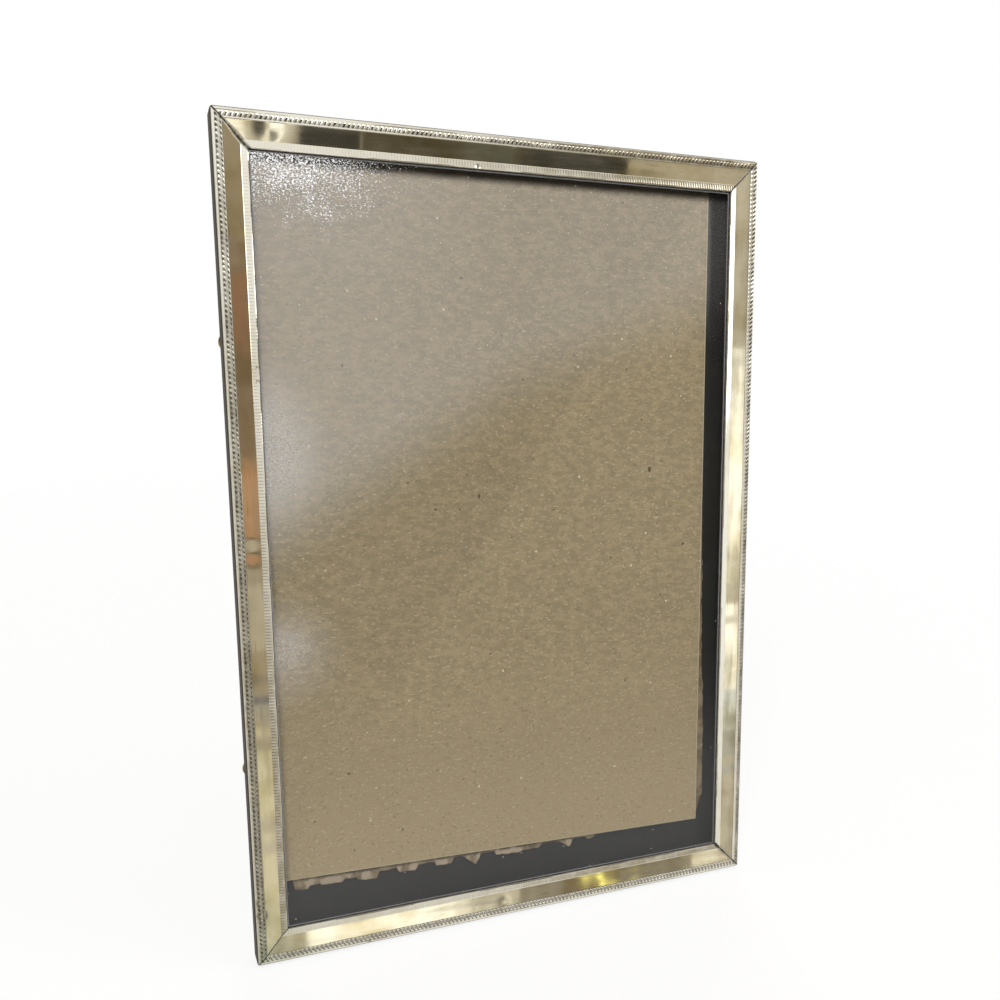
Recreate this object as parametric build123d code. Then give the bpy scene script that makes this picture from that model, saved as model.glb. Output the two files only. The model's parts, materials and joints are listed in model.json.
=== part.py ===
from build123d import *
from math import cos, radians, sin, sqrt
import os

# An easel back photo frame for a 5 x 7 inch picture, standing on a table with its leg open.
# Lengths are in millimetres and angles in degrees.
#
# Each piece is first drawn in the frame's own upright space: x runs to the viewer's right from the
# middle of the frame, y runs back from the foremost plane of the rails, and z runs up from the frame's
# lower edge. At the end everything leans back together and is set down on the floor, with the origin
# under the middle of the object.

# How the frame stands, and how far every cutting tool runs past its work
lean_angle = 14.0
leg_open_angle = 23.0
overrun = 5.0

# Glass: the standard pane that sets the size of the whole frame
glass_width = 127.0
glass_height = 178.0
glass_thickness = 2.0
glass_side_play = 0.2
glass_front_play = 0.05

# Rail section: "in" is measured from the outer edge towards the picture, "drop" from the foremost plane
sheet = 0.45
rail_depth = 6.5
side_taper = 0.7
side_top_drop = 0.9
shoulder_in = 0.8
shoulder_drop = 0.36
bead_width = 1.4
fillet_width = 0.15
fillet_drop = 0.3
bevel_width = 3.6
bevel_fall = 0.75
groove_width = 0.1
groove_fall = 0.1
inner_bead_width = 1.1
inner_bead_rise = 0.2
lip_width = 0.45
flange_in = 4.3
rail_corner_radius = 0.5
mitre_gap = 0.15

# Corner keys inside the hollow rails
key_leg = 20.0
key_play = 0.1
key_front_drop = 1.8
key_chamfer = 1.0

# Card and paper behind the glass: the card is pushed up to the left, and its lower edge is cut askew
card_play = 0.4
card_gap_right = 8.0
card_gap_below = 10.5
card_skew = 3.4
card_thickness = 0.8
paper_thickness = 0.15
paper_inset = 3.3
paper_strip = 3.1
paper_flap = 3.6
# Shares along the card's width and of the deepest flap, left to right, chosen by eye
paper_flap_shares = [
    (0.045, 0.10), (0.050, 0.82), (0.075, 0.86), (0.080, 0.62), (0.100, 0.60), (0.105, 0.74),
    (0.145, 0.70), (0.150, 0.55), (0.175, 0.52), (0.182, 0.80), (0.220, 0.86), (0.226, 0.38),
    (0.262, 0.32), (0.270, 0.66), (0.305, 0.72), (0.312, 0.34), (0.346, 0.28), (0.352, 0.62),
    (0.386, 0.64), (0.392, 0.22), (0.410, 0.20), (0.442, 1.00), (0.456, 0.24), (0.484, 0.20),
    (0.490, 0.50), (0.545, 0.58), (0.555, 0.46), (0.590, 0.44), (0.600, 0.20), (0.640, 0.18),
    (0.668, 0.74), (0.680, 0.18), (0.708, 0.16), (0.716, 0.38), (0.730, 0.30), (0.745, -0.20),
]
# Shares of the card's right height, downwards, and of the strip that shows beside the card
paper_strip_shares = [(0.30, 0.20), (0.55, 0.52), (0.72, 0.62), (0.82, 0.88), (0.92, 0.98), (0.955, 1.00)]

# Back: a stiff board covered behind with cloth and lined in front with black paper
back_play = 0.3
liner_thickness = 0.2
liner_margin = 1.5
cloth = 0.3
board_thickness = 1.4
turn_in = 8.0

# Turn buttons on the rear flange of the side rails
button_margin = 46.0
button_in = 2.45
button_width = 4.2
button_length = 13.0
button_thickness = 0.6
button_play = 0.05
button_shank_radius = 0.8
button_head_radius = 1.5
button_head_height = 0.55
button_tail_radius = 1.25
button_tail_height = 0.5

# Easel hinge: a riveted bracket with two ears, and a clip on the leg with two ears outside them
hinge_from_top = 62.0
pin_radius = 0.6
pin_offset = 1.9
pin_end = 0.35
pin_end_radius = 0.95
pin_play = 0.05
ear_radius = 1.3
leaf = 0.6
bracket_width = 16.0
bracket_rise = 14.0
bracket_skirt = 3.0
bracket_rivet_rise = 10.6
ear_play = 0.1
clip_drop = 20.0
clip_rivet_drop = 13.5
heel_play = 0.03
plate_corner_radius = 2.0
rivet_spacing = 9.0
rivet_shank_radius = 1.0
rivet_head_radius = 1.75
rivet_head_height = 0.6
rivet_tail_radius = 1.6
rivet_tail_height = 0.4

# Easel leg
leg_thickness = 2.4
leg_top_width = 20.0
leg_foot_width = 44.0
leg_top_drop = 3.4
leg_corner_radius = 2.5

# Hanging ring on its strap
hanger_from_top = 21.0
strap_width = 6.0
strap_length = 11.0
strap_sheet = 0.4
strap_rivet_drop = 5.2
strap_corner_radius = 1.0
eye_radius = 0.65
ring_wire_radius = 0.6
ring_half_width = 4.9
ring_corner_radius = 1.5
ring_length = 8.5
hanger_shank_radius = 0.8
hanger_head_radius = 1.7
hanger_head_height = 0.5

# Places that follow from the sizes above
fillet_in = shoulder_in + bead_width
bevel_in = fillet_in + fillet_width
groove_in = bevel_in + bevel_width
inner_bead_in = groove_in + groove_width
lip_in = inner_bead_in + inner_bead_width
face_in = lip_in + lip_width
groove_drop = fillet_drop + bevel_fall
lip_drop = groove_drop + groove_fall

glass_in = flange_in + glass_side_play
frame_width = glass_width + 2 * glass_in
frame_height = glass_height + 2 * glass_in
back_width = glass_width - 2 * back_play
back_height = glass_height - 2 * back_play
card_in = flange_in + card_play
card_width = frame_width - card_in - glass_in - card_gap_right
card_right_height = frame_height - card_in - glass_in - card_gap_below
card_left_height = card_right_height - card_skew

glass_y = lip_drop + sheet + glass_front_play
card_y = glass_y + glass_thickness
paper_y = card_y + card_thickness
liner_y = paper_y + paper_thickness
back_y = liner_y + liner_thickness
back_rear_y = back_y + board_thickness + cloth
flange_y = rail_depth - sheet

pin_y = back_rear_y + pin_offset
web_y = pin_y + ear_radius + ear_play
leg_front_y = web_y - leg_thickness
eye_y = back_rear_y + strap_sheet + eye_radius
button_y = rail_depth + button_play
button_x = frame_width / 2 - button_in
button_heights = {"low": button_margin, "high": frame_height - button_margin}
hinge_height = frame_height - hinge_from_top
hanger_height = frame_height - hanger_from_top
sides = {"left": -1, "right": 1}


def block(x0, x1, y0, y1, z0, z1):
    """A box between two values on each axis, given in either order."""
    size = (abs(x1 - x0), abs(y1 - y0), abs(z1 - z0))
    return Pos((x0 + x1) / 2, (y0 + y1) / 2, (z0 + z1) / 2) * Box(*size)


def plate(outline, y, thickness):
    """A flat plate from an outline drawn in x and z, with its front face at y."""
    plane = Plane(origin=(0, y, 0), x_dir=(1, 0, 0), z_dir=(0, -1, 0))
    return extrude(plane * outline, amount=-thickness)


def polygon(points):
    return make_face(Polyline(*points, close=True))


def rod(x, z, y0, y1, radius):
    """A round bar along y."""
    return Pos(x, (y0 + y1) / 2, z) * Rot(X=90) * Cylinder(radius, abs(y1 - y0))


def cross_bar(y, z, x0, x1, radius):
    """A round bar along x."""
    return Pos((x0 + x1) / 2, y, z) * Rot(Y=90) * Cylinder(radius, abs(x1 - x0))


def dome(x, z, y, radius, height):
    """A domed rivet head whose flat side is at y and whose crown points back."""
    ball = (radius**2 + height**2) / (2 * height)
    return rod(x, z, y, y + height, radius) & Pos(x, y + height - ball, z) * Sphere(ball)


def rivet(x, z, head_y, tail_y, shank, head, head_height, tail, tail_height):
    """A rivet along y, with its domed head behind head_y and its flat tail from tail_y backwards."""
    body = dome(x, z, head_y, head, head_height) + rod(x, z, tail_y, head_y, shank)
    return body + rod(x, z, tail_y, tail_y + tail_height, tail)


def rail_section():
    """One rolled sheet section, drawn with x as "in" and y as "drop"."""
    side_slope = side_taper / (rail_depth - side_top_drop)
    front = Polyline((fillet_in, shoulder_drop), (bevel_in, fillet_drop), (groove_in, groove_drop),
                     (inner_bead_in, lip_drop))
    edges = [
        Polyline((flange_in, flange_y), (flange_in, rail_depth), (side_taper, rail_depth),
                 (0, side_top_drop)),
        SagittaArc((0, side_top_drop), (shoulder_in, shoulder_drop), sheet / 4),
        ThreePointArc((shoulder_in, shoulder_drop), (shoulder_in + bead_width / 2, 0),
                      (fillet_in, shoulder_drop)),
        front,
        ThreePointArc((inner_bead_in, lip_drop),
                      (inner_bead_in + inner_bead_width / 2, lip_drop - inner_bead_rise),
                      (lip_in, lip_drop)),
        Polyline((lip_in, lip_drop), (face_in, lip_drop), (face_in, lip_drop + sheet),
                 (groove_in, lip_drop + sheet), (bevel_in, fillet_drop + sheet),
                 (sheet + side_slope * sheet, side_top_drop + sheet / 2),
                 (side_taper + sheet - side_slope * sheet, flange_y), (flange_in, flange_y)),
    ]
    section = make_face(edges)
    rear_corner = section.vertices().sort_by_distance((side_taper, rail_depth, 0))[0]
    return fillet(rear_corner, rail_corner_radius)


def mitred_rail(length):
    """A rail along z with 45 degree mitres, each cut back by half of the gap between two rails."""
    reach = face_in + overrun
    back_off = mitre_gap / sqrt(2)
    plan = polygon([(-overrun, back_off - overrun), (reach, back_off + reach),
                    (reach, length - back_off - reach), (-overrun, length - back_off + overrun)])
    wedge = plate(plan, -overrun, rail_depth + 2 * overrun)
    return extrude(Plane.XY * rail_section(), amount=length) & wedge


def make_rails():
    half = frame_width / 2
    places = {
        "rail_left": (frame_height, Plane(origin=(-half, 0, 0), x_dir=(1, 0, 0), z_dir=(0, 0, 1))),
        "rail_right": (frame_height, Plane(origin=(half, 0, frame_height), x_dir=(-1, 0, 0),
                                           z_dir=(0, 0, -1))),
        "rail_bottom": (frame_width, Plane(origin=(half, 0, 0), x_dir=(0, 0, 1), z_dir=(-1, 0, 0))),
        "rail_top": (frame_width, Plane(origin=(-half, 0, frame_height), x_dir=(0, 0, -1),
                                        z_dir=(1, 0, 0))),
    }
    rails = {name: plane.location * mitred_rail(length) for name, (length, plane) in places.items()}
    for side, sign in sides.items():
        for height in button_heights.values():
            hole = rod(sign * button_x, height, flange_y - overrun / 2, rail_depth + overrun,
                       button_shank_radius)
            rails["rail_" + side] -= hole
    return rails


def make_corner_keys():
    """L keys that fill the hollow rails at the corners, hold the mitres and centre the glass."""
    outer_in = side_taper + sheet + key_play
    inner_in = flange_in
    rear = flange_y - key_play / 2
    keys = {}
    for row, z_sign, z_edge in (("t", -1, frame_height), ("b", 1, 0)):
        for column, x_sign in (("l", 1), ("r", -1)):
            x_edge = -x_sign * frame_width / 2

            def x_at(inward):
                return x_edge + x_sign * inward

            def z_at(inward):
                return z_edge + z_sign * inward

            outline = [(outer_in, outer_in), (key_leg - key_chamfer, outer_in),
                       (key_leg, outer_in + key_chamfer), (key_leg, inner_in),
                       (inner_in, inner_in), (inner_in, key_leg), (outer_in + key_chamfer, key_leg),
                       (outer_in, key_leg - key_chamfer)]
            shape = polygon([(x_at(a), z_at(b)) for a, b in outline])
            keys["corner_key_" + row + column] = plate(shape, key_front_drop, rear - key_front_drop)
    return keys


def make_glass():
    pane = plate(Rectangle(glass_width, glass_height), glass_y, glass_thickness)
    return {"glass": Pos(0, 0, frame_height / 2) * pane}


def card_corner(along, down):
    """A place on the card: along its width from the left, and down from its upper edge."""
    return (card_in - frame_width / 2 + along, frame_height - card_in - down)


def make_card():
    """The insert card, pushed up to the left, with its lower edge cut askew."""
    outline = polygon([card_corner(0, 0), card_corner(card_width, 0),
                       card_corner(card_width, card_right_height), card_corner(0, card_left_height)])
    return {"insert_card": plate(outline, card_y, card_thickness)}


def make_torn_paper():
    """The remnant of a brown sheet behind the card, whose torn edge shows below it and to its right."""
    points = [card_corner(card_width - paper_inset, paper_inset), card_corner(paper_inset, paper_inset)]
    for along_share, drop_share in paper_flap_shares:
        edge = card_left_height + card_skew * along_share
        points.append(card_corner(card_width * along_share, edge + paper_flap * drop_share))
    points.append(card_corner(card_width, card_right_height - paper_inset / 4))
    for down_share, strip_share in reversed(paper_strip_shares):
        points.append(card_corner(card_width + paper_strip * strip_share, card_right_height * down_share))
    return {"torn_paper": plate(polygon(points), paper_y, paper_thickness)}


def make_back():
    """The liner, the stiff board, and the cloth that covers its rear and edges and turns in in front."""
    middle = Pos(0, 0, frame_height / 2)
    liner = plate(Rectangle(back_width - 2 * liner_margin, back_height - 2 * liner_margin),
                  liner_y, liner_thickness)
    core_width = back_width - 2 * cloth
    core_height = back_height - 2 * cloth
    field = Rectangle(core_width - 2 * turn_in, core_height - 2 * turn_in)
    core = plate(Rectangle(core_width, core_height), back_y + cloth, board_thickness - cloth)
    core += plate(field, back_y, cloth)
    cover = plate(Rectangle(back_width, back_height), back_y, back_rear_y - back_y) - core
    core = middle * core
    cover = middle * cover
    for x, z in bracket_rivet_places():
        core -= rod(x, z, back_y - overrun, back_rear_y + overrun, rivet_shank_radius)
        core -= rod(x, z, back_y - overrun, back_y + rivet_tail_height, rivet_tail_radius)
        cover -= rod(x, z, back_rear_y - 2 * cloth, back_rear_y + overrun, rivet_shank_radius)
    x, z = hanger_rivet_place()
    core -= rod(x, z, back_y - overrun, back_rear_y + overrun, hanger_shank_radius)
    core -= rod(x, z, back_y - overrun, back_y + rivet_tail_height, hanger_head_radius)
    cover -= rod(x, z, back_rear_y - 2 * cloth, back_rear_y + overrun, hanger_shank_radius)
    return {"back_liner": middle * liner, "back_board": core, "back_cover": cover}


def make_turn_buttons():
    """Flat steel buttons that turn about rivets in the side rails and hold the back in."""
    outline = Pos(button_length / 2, 0) * SlotCenterToCenter(button_length - button_width / 2, button_width)
    outline = Pos(-button_width / 4, 0) * outline
    outline -= Circle(button_shank_radius + button_play)
    nodes = {}
    rivets = []
    for side, sign in sides.items():
        for level, height in button_heights.items():
            place = Pos(sign * button_x, 0, height) * Rot(Y=0 if sign < 0 else 180)
            button = plate(outline, 0, button_thickness)
            nodes["turn_button_" + level + "_" + side] = Pos(0, button_y, 0) * place * button
            head_y = button_y + button_thickness + button_play
            rivets.append(rivet(sign * button_x, height, head_y, flange_y - button_tail_height,
                                button_shank_radius, button_head_radius, button_head_height,
                                button_tail_radius, button_tail_height))
    nodes["turn_button_rivets"] = Compound(rivets)
    return nodes


def bracket_rivet_places():
    height = hinge_height + bracket_rivet_rise
    return [(-rivet_spacing / 2, height), (rivet_spacing / 2, height)]


def clip_rivet_places():
    height = hinge_height - clip_rivet_drop
    return [(-rivet_spacing / 2, height), (rivet_spacing / 2, height)]


def hanger_rivet_place():
    return (0, hanger_height - strap_rivet_drop)


def make_hinge_bracket():
    """The fixed half: a plate on the back with two ears that carry the pin."""
    height = bracket_rise + bracket_skirt
    middle = hinge_height + (bracket_rise - bracket_skirt) / 2
    bracket = Pos(0, 0, middle) * plate(RectangleRounded(bracket_width, height, plate_corner_radius),
                                        back_rear_y, leaf)
    for sign in sides.values():
        outer = sign * bracket_width / 2
        inner = sign * (bracket_width / 2 - leaf)
        bracket += block(inner, outer, back_rear_y, pin_y,
                         hinge_height - ear_radius, hinge_height + ear_radius)
        bracket += cross_bar(pin_y, hinge_height, inner, outer, ear_radius)
    bracket -= cross_bar(pin_y, hinge_height, -bracket_width, bracket_width, pin_radius)
    for x, z in bracket_rivet_places():
        bracket -= rod(x, z, back_rear_y - overrun, pin_y, rivet_shank_radius)
    return {"hinge_bracket": bracket}


def heel_length():
    """How far the clip's heel stands above the pin, to meet the bracket when the leg is open."""
    web_offset = web_y - pin_y
    plate_offset = pin_offset - leaf - heel_play
    angle = radians(leg_open_angle)
    return (web_offset * cos(angle) + plate_offset) / sin(angle)


def make_hinge_clip():
    """The moving half, closed: a web on the rear of the leg with two ears outside the bracket's."""
    half = bracket_width / 2 + ear_play + leaf
    height = heel_length() + clip_drop
    middle = hinge_height + (heel_length() - clip_drop) / 2
    clip = Pos(0, 0, middle) * plate(Rectangle(2 * half, height), web_y, leaf)
    clip = fillet(clip.edges().filter_by(Axis.Y).group_by(Axis.Z)[0], plate_corner_radius)
    for sign in sides.values():
        outer = sign * half
        inner = sign * (half - leaf)
        clip += block(inner, outer, pin_y, web_y, hinge_height - ear_radius, hinge_height + ear_radius)
        clip += cross_bar(pin_y, hinge_height, inner, outer, ear_radius)
    clip -= cross_bar(pin_y, hinge_height, -bracket_width, bracket_width, pin_radius + pin_play)
    for x, z in clip_rivet_places():
        clip -= rod(x, z, web_y - overrun / 2, web_y + overrun, rivet_shank_radius)
    return clip


def make_hinge_pin():
    inner = bracket_width / 2 + ear_play + leaf + pin_play
    pin = cross_bar(pin_y, hinge_height, -inner, inner, pin_radius)
    for sign in sides.values():
        pin += cross_bar(pin_y, hinge_height, sign * inner, sign * (inner + pin_end), pin_end_radius)
    return {"hinge_pin": pin}


def make_bracket_rivets():
    rivets = [rivet(x, z, back_rear_y + leaf, back_y, rivet_shank_radius, rivet_head_radius,
                    rivet_head_height, rivet_tail_radius, rivet_tail_height)
              for x, z in bracket_rivet_places()]
    return {"bracket_rivets": Compound(rivets)}


def make_clip_rivets():
    rivets = [rivet(x, z, web_y + leaf, leg_front_y - rivet_tail_height, rivet_shank_radius,
                    rivet_head_radius, rivet_head_height, rivet_tail_radius, rivet_tail_height)
              for x, z in clip_rivet_places()]
    return Compound(rivets)


def leg_outline(length):
    """The closed leg in x and z, widening from the hinge down, and drawn on past its foot."""
    top = hinge_height - leg_top_drop
    slope = (leg_foot_width - leg_top_width) / 2 / (length - leg_top_drop)
    run = length - leg_top_drop + overrun
    top_half = leg_top_width / 2
    foot_half = top_half + slope * run
    outline = polygon([(-top_half, top), (top_half, top), (foot_half, top - run), (-foot_half, top - run)])
    return fillet(outline.vertices().group_by(Axis.Y)[-1], leg_corner_radius)


def open_leg(shape):
    """Turn a piece of the closed leg about the pin until the heel meets the bracket."""
    pin = Pos(0, pin_y, hinge_height)
    return pin * Rot(X=leg_open_angle) * pin.inverse() * shape


def lean(shape):
    return Rot(X=-lean_angle) * shape


def leg_length(floor_z):
    """From the pin to the floor along the open leg."""
    angle = radians(lean_angle)
    pin_z = hinge_height * cos(angle) - pin_y * sin(angle)
    return (pin_z - floor_z) / cos(radians(leg_open_angle - lean_angle))


def make_leg(floor_z):
    """The open leg's pieces, already leaning, with the foot cut flat to the floor."""
    reach = frame_height
    outline = leg_outline(leg_length(floor_z))
    solid = plate(outline, leg_front_y, leg_thickness)
    core = plate(offset(outline, -cloth), leg_front_y + cloth, leg_thickness - 2 * cloth)
    holes = [rod(x, z, leg_front_y - overrun, web_y + overrun, rivet_shank_radius)
             for x, z in clip_rivet_places()]
    for hole in holes:
        solid -= hole
        core -= hole
    solid = lean(open_leg(solid)) & block(-reach, reach, -reach, reach, floor_z, reach)
    core = lean(open_leg(core)) & block(-reach, reach, -reach, reach, floor_z + cloth, reach)
    return {
        "leg_board": core,
        "leg_cover": solid - core,
        "hinge_clip": lean(open_leg(make_hinge_clip())),
        "clip_rivets": lean(open_leg(make_clip_rivets())),
    }


def make_hanger():
    """A strap folded round the straight bar of a D ring, and one rivet through both of its layers."""
    x, z = hanger_rivet_place()
    middle = hanger_height - strap_length / 2
    layer = RectangleRounded(strap_width, strap_length, strap_corner_radius)
    strap = Pos(0, 0, middle) * plate(layer, back_rear_y, 2 * strap_sheet)
    strap += cross_bar(eye_y, hanger_height, -strap_width / 2, strap_width / 2, eye_radius + strap_sheet)
    strap -= cross_bar(eye_y, hanger_height, -strap_width, strap_width, eye_radius)
    strap -= rod(x, z, back_rear_y - overrun, eye_y + overrun, hanger_shank_radius)
    pin = rivet(x, z, back_rear_y + 2 * strap_sheet, back_y, hanger_shank_radius, hanger_head_radius,
                hanger_head_height, hanger_head_radius, rivet_tail_height)
    return {"hanger_strap": strap, "hanger_rivet": pin}


def make_hanger_ring():
    """A D ring of round wire, hanging straight down from the eye of its strap."""
    bar_half = ring_half_width - ring_corner_radius
    side_end = ring_length - ring_half_width
    outline = [
        Line((-bar_half, 0), (bar_half, 0)),
        RadiusArc((bar_half, 0), (ring_half_width, -ring_corner_radius), ring_corner_radius),
        Line((ring_half_width, -ring_corner_radius), (ring_half_width, -side_end)),
        ThreePointArc((ring_half_width, -side_end), (0, -ring_length), (-ring_half_width, -side_end)),
        Line((-ring_half_width, -side_end), (-ring_half_width, -ring_corner_radius)),
        RadiusArc((-ring_half_width, -ring_corner_radius), (-bar_half, 0), ring_corner_radius),
    ]
    path = Plane(origin=(0, 0, 0), x_dir=(1, 0, 0), z_dir=(0, -1, 0)) * Wire(outline)
    wire = Plane(origin=(0, 0, 0), x_dir=(0, 1, 0), z_dir=(1, 0, 0)) * Circle(ring_wire_radius)
    ring = sweep(wire, path=path, transition=Transition.ROUND)
    hang = Pos(0, eye_y, hanger_height) * Rot(X=lean_angle)
    return lean(hang * ring)


def make_nodes():
    """Every piece by name, leaning back on the floor with the leg open."""
    upright = {}
    for group in (make_rails(), make_corner_keys(), make_glass(), make_card(), make_torn_paper(),
                  make_back(), make_turn_buttons(), make_hinge_bracket(), make_hinge_pin(),
                  make_bracket_rivets(), make_hanger()):
        upright.update(group)
    nodes = {name: lean(shape) for name, shape in upright.items()}
    floor_z = nodes["rail_bottom"].bounding_box().min.Z
    nodes.update(make_leg(floor_z))
    nodes["hanger_ring"] = make_hanger_ring()
    return nodes


def report(label, point, origin):
    """Print a place of the upright frame as it lies in the finished part."""
    place = lean(Pos(*point)).position - origin
    print(label, [round(value, 4) for value in place])


nodes = make_nodes()
box = Compound(list(nodes.values())).bounding_box()
origin = Vector(box.center().X, box.center().Y, box.min.Z)
os.makedirs("parts", exist_ok=True)
for name, shape in nodes.items():
    export_step(Pos(*(-origin)) * shape, os.path.join("parts", name + ".step"))

print("box", [round(value, 3) for value in box.size])
print("leg length", round(leg_length(nodes["rail_bottom"].bounding_box().min.Z), 3))
report("hinge pin", (0, pin_y, hinge_height), origin)
report("hanger eye", (0, eye_y, hanger_height), origin)
for side, sign in sides.items():
    for level, height in button_heights.items():
        report("turn button " + level + " " + side, (sign * button_x, button_y, height), origin)
foot = nodes["leg_cover"].faces().sort_by(Axis.Z)[0]
print("foot face centre", [round(value, 4) for value in foot.center() - origin])
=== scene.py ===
import json
import math
from contextlib import contextmanager

import bmesh
import bpy
import numpy as np
from mathutils import Matrix, Vector, noise
from mathutils.bvhtree import BVHTree


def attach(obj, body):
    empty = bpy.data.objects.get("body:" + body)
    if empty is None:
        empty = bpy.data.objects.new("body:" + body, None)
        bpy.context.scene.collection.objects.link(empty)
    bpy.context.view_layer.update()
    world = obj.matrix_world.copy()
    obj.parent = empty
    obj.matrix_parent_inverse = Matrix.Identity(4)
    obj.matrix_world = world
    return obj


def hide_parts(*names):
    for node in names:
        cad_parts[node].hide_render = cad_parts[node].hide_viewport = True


# The looks of an easel back photo frame: pale brass rails with beaded edges, dusty glass, an old
# chipboard card, the rest of a torn sheet, and a back and leg covered in black velveteen.
#
# Shapes are drawn upright and in millimetres: x runs right from the middle of the frame, y runs back
# from its foremost plane and z runs up from its lower edge. stand_up leans them back onto the floor.

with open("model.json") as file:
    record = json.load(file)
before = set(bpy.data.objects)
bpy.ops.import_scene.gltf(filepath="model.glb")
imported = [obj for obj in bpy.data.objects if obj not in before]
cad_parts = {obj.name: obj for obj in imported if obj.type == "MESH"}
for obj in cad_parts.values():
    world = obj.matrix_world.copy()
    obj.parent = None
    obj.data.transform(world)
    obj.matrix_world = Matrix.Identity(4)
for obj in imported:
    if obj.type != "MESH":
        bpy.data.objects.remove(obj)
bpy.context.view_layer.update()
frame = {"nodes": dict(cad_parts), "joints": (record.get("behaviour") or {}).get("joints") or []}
joints = {joint["name"]: joint for joint in frame["joints"]}
mm = 0.001

# The whole frame and what lies in it
frame_width = 136.0
frame_height = 187.0
pin_back = 8.4
pin_height = 125.0
glass_front = 1.65
card_left = 4.7
card_width = 118.8
card_drop_left = 168.6
card_drop_right = 172.0
card_slope = (card_drop_right - card_drop_left) / card_width
card_front = 3.65
paper_front = 4.45
paper_back = 4.6
sight_in = 7.6

# Rail section, "in" from the outer edge and "drop" from the foremost plane
sheet = 0.45
rail_depth = 6.5
side_taper = 0.7
side_top = 0.9
shoulder_in = 0.8
shoulder_drop = 0.36
bead_in = 1.5
bead_half = 0.7
bead_rows = 10
fillet_in = 2.35
fillet_drop = 0.3
bevel_in = 5.95
bevel_drop = 1.05
groove_in = 6.05
groove_drop = 1.15
tick_in = 6.75
tick_half = 0.67
tick_crest = 0.92
lip_back = 1.6
flange_in = 4.3
rear_round = 0.5
corner_round = 0.7
mitre_gap = 0.15

# Beads and ticks along the rails
bead_pitch = 1.04
steps_per_bead = 6
ticks_per_beads = 1.5
bead_slant = 0.55

# Back, leg and their covering
back_width = 126.4
back_height = 177.4
back_front = 4.8
back_rear = 6.5
turn_in = 8.0
cloth = 0.28
paper_sheet = 0.08
edge_round = 0.5
leg_front = 7.4
leg_rear = 9.8
leg_top = 121.6
leg_top_width = 20.0
leg_foot_width = 44.0
leg_corner = 2.5

# The photograph's view: the camera's place in the row frame, and its tilt, roll and turn
camera_place = Vector((-118.19, -236.52, 178.95)) * mm
camera_angles = (66.535, -5.178, -24.484)
camera_lens = 40.545
camera_shift = 0.1391


def upright_to_floor():
    """Lean the upright drawing back by the turn buttons' angle and put the hinge pin at its joint."""
    axis = joints["turn_button_low_left_pivot"]["axis"]
    lean = math.atan2(-axis[2], axis[1])
    pin = Vector((0, pin_back, pin_height)) * mm
    place = Vector(joints["leg_hinge"]["pos_m"])
    return Matrix.Translation(place) @ Matrix.Rotation(-lean, 4, "X") @ Matrix.Translation(-pin)


stand_up = upright_to_floor()
open_angle = -math.radians(joints["leg_hinge"]["range_deg"][0])


def leg_to_floor():
    """Swing the closed leg open about its pin, then lean it with the rest."""
    pin = Matrix.Translation(Vector((0, pin_back, pin_height)) * mm)
    return stand_up @ pin @ Matrix.Rotation(open_angle, 4, "X") @ pin.inverted()


swing_open = leg_to_floor()


# Small tools for shader nodes


class Field:
    """A number, colour, place or shader that a node gives at each point, with plain arithmetic."""

    def __init__(self, socket):
        self.socket = socket
        self.tree = socket.id_data

    def __add__(self, other):
        return worked_out("ADD", self, other)

    def __sub__(self, other):
        return worked_out("SUBTRACT", self, other)

    def __rsub__(self, other):
        return worked_out("SUBTRACT", other, self)

    def __mul__(self, other):
        return worked_out("MULTIPLY", self, other)


def add_node(tree, kind, inputs=(), **settings):
    """One shader node of this kind, with each input linked to a field or set to a value."""
    node = tree.nodes.new(kind)
    for name, value in settings.items():
        setattr(node, name, value)
    for name, value in dict(inputs).items():
        if isinstance(value, Field):
            tree.links.new(value.socket, node.inputs[name])
        else:
            node.inputs[name].default_value = value
    return node


def field(tree, kind, inputs=(), output=0, **settings):
    """What one output of a new node gives."""
    return Field(add_node(tree, kind, inputs, **settings).outputs[output])


def from_fields(kind, inputs, output=0, **settings):
    """What a new node gives, in the tree of the fields that go into it."""
    tree = next(value.tree for value in inputs.values() if isinstance(value, Field))
    return field(tree, kind, inputs, output, **settings)


def worked_out(operation, first, second=0.0, clamp=False):
    return from_fields("ShaderNodeMath", {0: first, 1: second}, operation=operation, use_clamp=clamp)


def larger(first, *others):
    for other in others:
        first = worked_out("MAXIMUM", first, other)
    return first


def smaller(first, *others):
    for other in others:
        first = worked_out("MINIMUM", first, other)
    return first


def remap(value, low, high, to_low=0.0, to_high=1.0):
    """Value from low..high to to_low..to_high, held at both ends, with a smooth start and stop."""
    inputs = {"Value": value, "From Min": low, "From Max": high, "To Min": to_low, "To Max": to_high}
    return from_fields("ShaderNodeMapRange", inputs, interpolation_type="SMOOTHSTEP")


def opaque(colour):
    return colour if isinstance(colour, Field) else (*colour, 1.0)


def mix(share, first, second):
    """A colour between two, each given as red, green and blue or as a field."""
    inputs = {0: share, 6: opaque(first), 7: opaque(second)}
    return from_fields("ShaderNodeMix", inputs, 2, data_type="RGBA")


def mix_shaders(share, first, second):
    return from_fields("ShaderNodeMixShader", {0: share, 1: first, 2: second})


def cloud(here, size, detail=3.0, rough=0.55):
    """Noise from 0 to 1 with lumps of about this size, in millimetres."""
    inputs = {"Vector": here, "Scale": 1 / size, "Detail": detail, "Roughness": rough}
    return from_fields("ShaderNodeTexNoise", inputs)


def cells(here, size, output="Distance"):
    return from_fields("ShaderNodeTexVoronoi", {"Vector": here, "Scale": 1 / size}, output)


def stretched(here, scale):
    return from_fields("ShaderNodeMapping", {"Vector": here, "Scale": scale})


def shifted(here, move):
    return from_fields("ShaderNodeMapping", {"Vector": here, "Location": move})


def length_of(here):
    return from_fields("ShaderNodeVectorMath", {0: here}, "Value", operation="LENGTH")


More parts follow.
